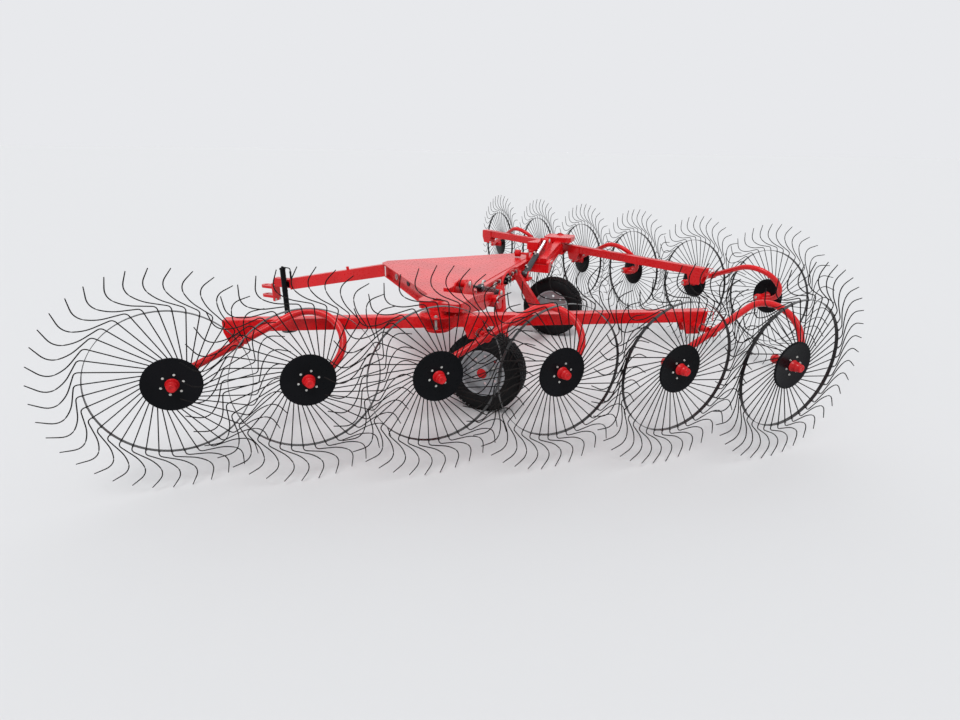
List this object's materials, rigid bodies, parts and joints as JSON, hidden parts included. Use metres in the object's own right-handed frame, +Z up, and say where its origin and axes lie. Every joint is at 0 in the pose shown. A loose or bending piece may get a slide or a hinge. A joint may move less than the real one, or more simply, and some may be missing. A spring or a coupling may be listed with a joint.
{
  "type": "carted wheel rake",
  "caption": "Towed V wheel rake: tined raking wheels in rocking pairs on two folding arms, on a wheeled cart with drawbar and jack.",
  "frame": {"origin": "middle of the machine's box at floor level", "axes": "+X forward to the hitch, +Y to the machine's left, +Z up"},
  "size_m": [5.9029, 6.7552, 1.3984],
  "materials": {
    "red_paint": "satin red enamel, dusty",
    "tine_steel": "black satin paint on wire tines, hoop and disc",
    "tyre": "black rubber, dusty",
    "rim_metal": "silver-grey paint",
    "cylinder_paint": "dark grey paint",
    "rod_chrome": "polished",
    "jack_paint": "black satin paint"
  },
  "bodies": {
    "cart": {"deck": "red_paint", "side_channel_left": "red_paint", "side_channel_right": "red_paint", "cross_beam": "red_paint", "mast": "red_paint", "wheel_leg_left": "red_paint", "wheel_leg_right": "red_paint", "drawbar": "red_paint", "hitch_clevis": "red_paint", "jack_tube": "jack_paint"},
    "jack_post": {"jack_leg": "jack_paint"},
    "wing_left": {"wing_left": "red_paint"},
    "arm_left": {"rake_arm_left": "red_paint", "hangers_left": "red_paint"},
    "barrel_left": {"cylinder_barrel_left": "cylinder_paint"},
    "rod_left": {"cylinder_rod_left": "rod_chrome"},
    "cart_wheel_left": {"tyre_left": "tyre", "rim_left": "rim_metal"},
    "rocker_left_1": {"rocker_left_1": "red_paint"},
    "rake_wheel_left_1": {"rake_wheel_left_1": "tine_steel"},
    "rake_wheel_left_2": {"rake_wheel_left_2": "tine_steel"},
    "rocker_left_2": {"rocker_left_2": "red_paint"},
    "rake_wheel_left_3": {"rake_wheel_left_3": "tine_steel"},
    "rake_wheel_left_4": {"rake_wheel_left_4": "tine_steel"},
    "rocker_left_3": {"rocker_left_3": "red_paint"},
    "rake_wheel_left_5": {"rake_wheel_left_5": "tine_steel"},
    "rake_wheel_left_6": {"rake_wheel_left_6": "tine_steel"},
    "wing_right": {"wing_right": "red_paint"},
    "arm_right": {"rake_arm_right": "red_paint", "hangers_right": "red_paint"},
    "barrel_right": {"cylinder_barrel_right": "cylinder_paint"},
    "rod_right": {"cylinder_rod_right": "rod_chrome"},
    "cart_wheel_right": {"tyre_right": "tyre", "rim_right": "rim_metal"},
    "rocker_right_1": {"rocker_right_1": "red_paint"},
    "rake_wheel_right_1": {"rake_wheel_right_1": "tine_steel"},
    "rake_wheel_right_2": {"rake_wheel_right_2": "tine_steel"},
    "rocker_right_2": {"rocker_right_2": "red_paint"},
    "rake_wheel_right_3": {"rake_wheel_right_3": "tine_steel"},
    "rake_wheel_right_4": {"rake_wheel_right_4": "tine_steel"},
    "rocker_right_3": {"rocker_right_3": "red_paint"},
    "rake_wheel_right_5": {"rake_wheel_right_5": "tine_steel"},
    "rake_wheel_right_6": {"rake_wheel_right_6": "tine_steel"}
  },
  "joints": [
    {"name": "jack_slide", "type": "slide", "parent": "cart", "child": "jack_post", "axis": [0, 0, 1], "range_m": [0, 0.18]},
    {"name": "cart_wheel_left_spin", "type": "hinge", "parent": "cart", "child": "cart_wheel_left", "pos_m": [-0.2914, 1.076, 0.333], "axis": [0, 1, 0], "continuous": true},
    {"name": "wing_left_fold", "type": "hinge", "parent": "cart", "child": "wing_left", "pos_m": [-0.1564, 0.846, 0.875], "axis": [1, 0, 0], "range_deg": [0, 65]},
    {"name": "arm_left_swing", "type": "hinge", "parent": "wing_left", "child": "arm_left", "pos_m": [-0.1764, 1.709, 0.92099], "axis": [0, 0, 1], "range_deg": [-8, 8]},
    {"name": "cylinder_left_tilt", "type": "hinge", "parent": "cart", "child": "barrel_left", "pos_m": [-0.1364, 0.43, 0.82], "axis": [1, 0, 0], "range_deg": [0, 30.12]},
    {"name": "cylinder_left_slide", "type": "slide", "parent": "barrel_left", "child": "rod_left", "axis": [0, -0.9508, -0.3098], "range_m": [0, 0.2045]},
    {"name": "rocker_left_1_rock", "type": "hinge", "parent": "arm_left", "child": "rocker_left_1", "pos_m": [0.83727, 2.49339, 0.86308], "axis": [-0.723, 0.6909, 0], "range_deg": [-10, 10]},
    {"name": "rake_wheel_left_1_spin", "type": "hinge", "parent": "rocker_left_1", "child": "rake_wheel_left_1", "pos_m": [1.0086, 2.87, 0.69919], "axis": [-0.723, 0.6909, 0], "continuous": true},
    {"name": "rake_wheel_left_2_spin", "type": "hinge", "parent": "rocker_left_1", "child": "rake_wheel_left_2", "pos_m": [0.31348, 2.49884, 0.69919], "axis": [-0.723, 0.6909, 0], "continuous": true},
    {"name": "rocker_left_2_rock", "type": "hinge", "parent": "arm_left", "child": "rocker_left_2", "pos_m": [-0.55296, 1.75108, 0.86308], "axis": [-0.723, 0.6909, 0], "range_deg": [-10, 10]},
    {"name": "rake_wheel_left_3_spin", "type": "hinge", "parent": "rocker_left_2", "child": "rake_wheel_left_3", "pos_m": [-0.38163, 2.12769, 0.69919], "axis": [-0.723, 0.6909, 0], "continuous": true},
    {"name": "rake_wheel_left_4_spin", "type": "hinge", "parent": "rocker_left_2", "child": "rake_wheel_left_4", "pos_m": [-1.07675, 1.75653, 0.69919], "axis": [-0.723, 0.6909, 0], "continuous": true},
    {"name": "rocker_left_3_rock", "type": "hinge", "parent": "arm_left", "child": "rocker_left_3", "pos_m": [-1.94319, 1.00876, 0.86308], "axis": [-0.723, 0.6909, 0], "range_deg": [-10, 10]},
    {"name": "rake_wheel_left_5_spin", "type": "hinge", "parent": "rocker_left_3", "child": "rake_wheel_left_5", "pos_m": [-1.77187, 1.38537, 0.69919], "axis": [-0.723, 0.6909, 0], "continuous": true},
    {"name": "rake_wheel_left_6_spin", "type": "hinge", "parent": "rocker_left_3", "child": "rake_wheel_left_6", "pos_m": [-2.46698, 1.01421, 0.69919], "axis": [-0.723, 0.6909, 0], "continuous": true},
    {"name": "cart_wheel_right_spin", "type": "hinge", "parent": "cart", "child": "cart_wheel_right", "pos_m": [-0.2914, -1.076, 0.333], "axis": [0, 1, 0], "continuous": true},
    {"name": "wing_right_fold", "type": "hinge", "parent": "cart", "child": "wing_right", "pos_m": [-0.1564, -0.846, 0.875], "axis": [-1, 0, 0], "range_deg": [0, 65]},
    {"name": "arm_right_swing", "type": "hinge", "parent": "wing_right", "child": "arm_right", "pos_m": [-0.1764, -1.709, 0.92099], "axis": [0, 0, -1], "range_deg": [-8, 8]},
    {"name": "cylinder_right_tilt", "type": "hinge", "parent": "cart", "child": "barrel_right", "pos_m": [-0.1364, -0.43, 0.82], "axis": [-1, 0, 0], "range_deg": [0, 30.12]},
    {"name": "cylinder_right_slide", "type": "slide", "parent": "barrel_right", "child": "rod_right", "axis": [0, 0.9508, -0.3098], "range_m": [0, 0.2045]},
    {"name": "rocker_right_1_rock", "type": "hinge", "parent": "arm_right", "child": "rocker_right_1", "pos_m": [0.83727, -2.49339, 0.86308], "axis": [-0.723, -0.6909, 0], "range_deg": [-10, 10]},
    {"name": "rake_wheel_right_1_spin", "type": "hinge", "parent": "rocker_right_1", "child": "rake_wheel_right_1", "pos_m": [1.0086, -2.87, 0.69919], "axis": [-0.723, -0.6909, 0], "continuous": true},
    {"name": "rake_wheel_right_2_spin", "type": "hinge", "parent": "rocker_right_1", "child": "rake_wheel_right_2", "pos_m": [0.31348, -2.49884, 0.69919], "axis": [-0.723, -0.6909, 0], "continuous": true},
    {"name": "rocker_right_2_rock", "type": "hinge", "parent": "arm_right", "child": "rocker_right_2", "pos_m": [-0.55296, -1.75108, 0.86308], "axis": [-0.723, -0.6909, 0], "range_deg": [-10, 10]},
    {"name": "rake_wheel_right_3_spin", "type": "hinge", "parent": "rocker_right_2", "child": "rake_wheel_right_3", "pos_m": [-0.38163, -2.12769, 0.69919], "axis": [-0.723, -0.6909, 0], "continuous": true},
    {"name": "rake_wheel_right_4_spin", "type": "hinge", "parent": "rocker_right_2", "child": "rake_wheel_right_4", "pos_m": [-1.07675, -1.75653, 0.69919], "axis": [-0.723, -0.6909, 0], "continuous": true},
    {"name": "rocker_right_3_rock", "type": "hinge", "parent": "arm_right", "child": "rocker_right_3", "pos_m": [-1.94319, -1.00876, 0.86308], "axis": [-0.723, -0.6909, 0], "range_deg": [-10, 10]},
    {"name": "rake_wheel_right_5_spin", "type": "hinge", "parent": "rocker_right_3", "child": "rake_wheel_right_5", "pos_m": [-1.77187, -1.38537, 0.69919], "axis": [-0.723, -0.6909, 0], "continuous": true},
    {"name": "rake_wheel_right_6_spin", "type": "hinge", "parent": "rocker_right_3", "child": "rake_wheel_right_6", "pos_m": [-2.46698, -1.01421, 0.69919], "axis": [-0.723, -0.6909, 0], "continuous": true}
  ],
  "couplings": [
    {"joint": "cylinder_left_tilt", "follows": "wing_left_fold", "ratio": 0.45575},
    {"joint": "cylinder_left_slide", "follows": "wing_left_fold", "m_per_rad": 0.17846},
    {"joint": "cylinder_right_tilt", "follows": "wing_right_fold", "ratio": 0.45575},
    {"joint": "cylinder_right_slide", "follows": "wing_right_fold", "m_per_rad": 0.17846}
  ]
}
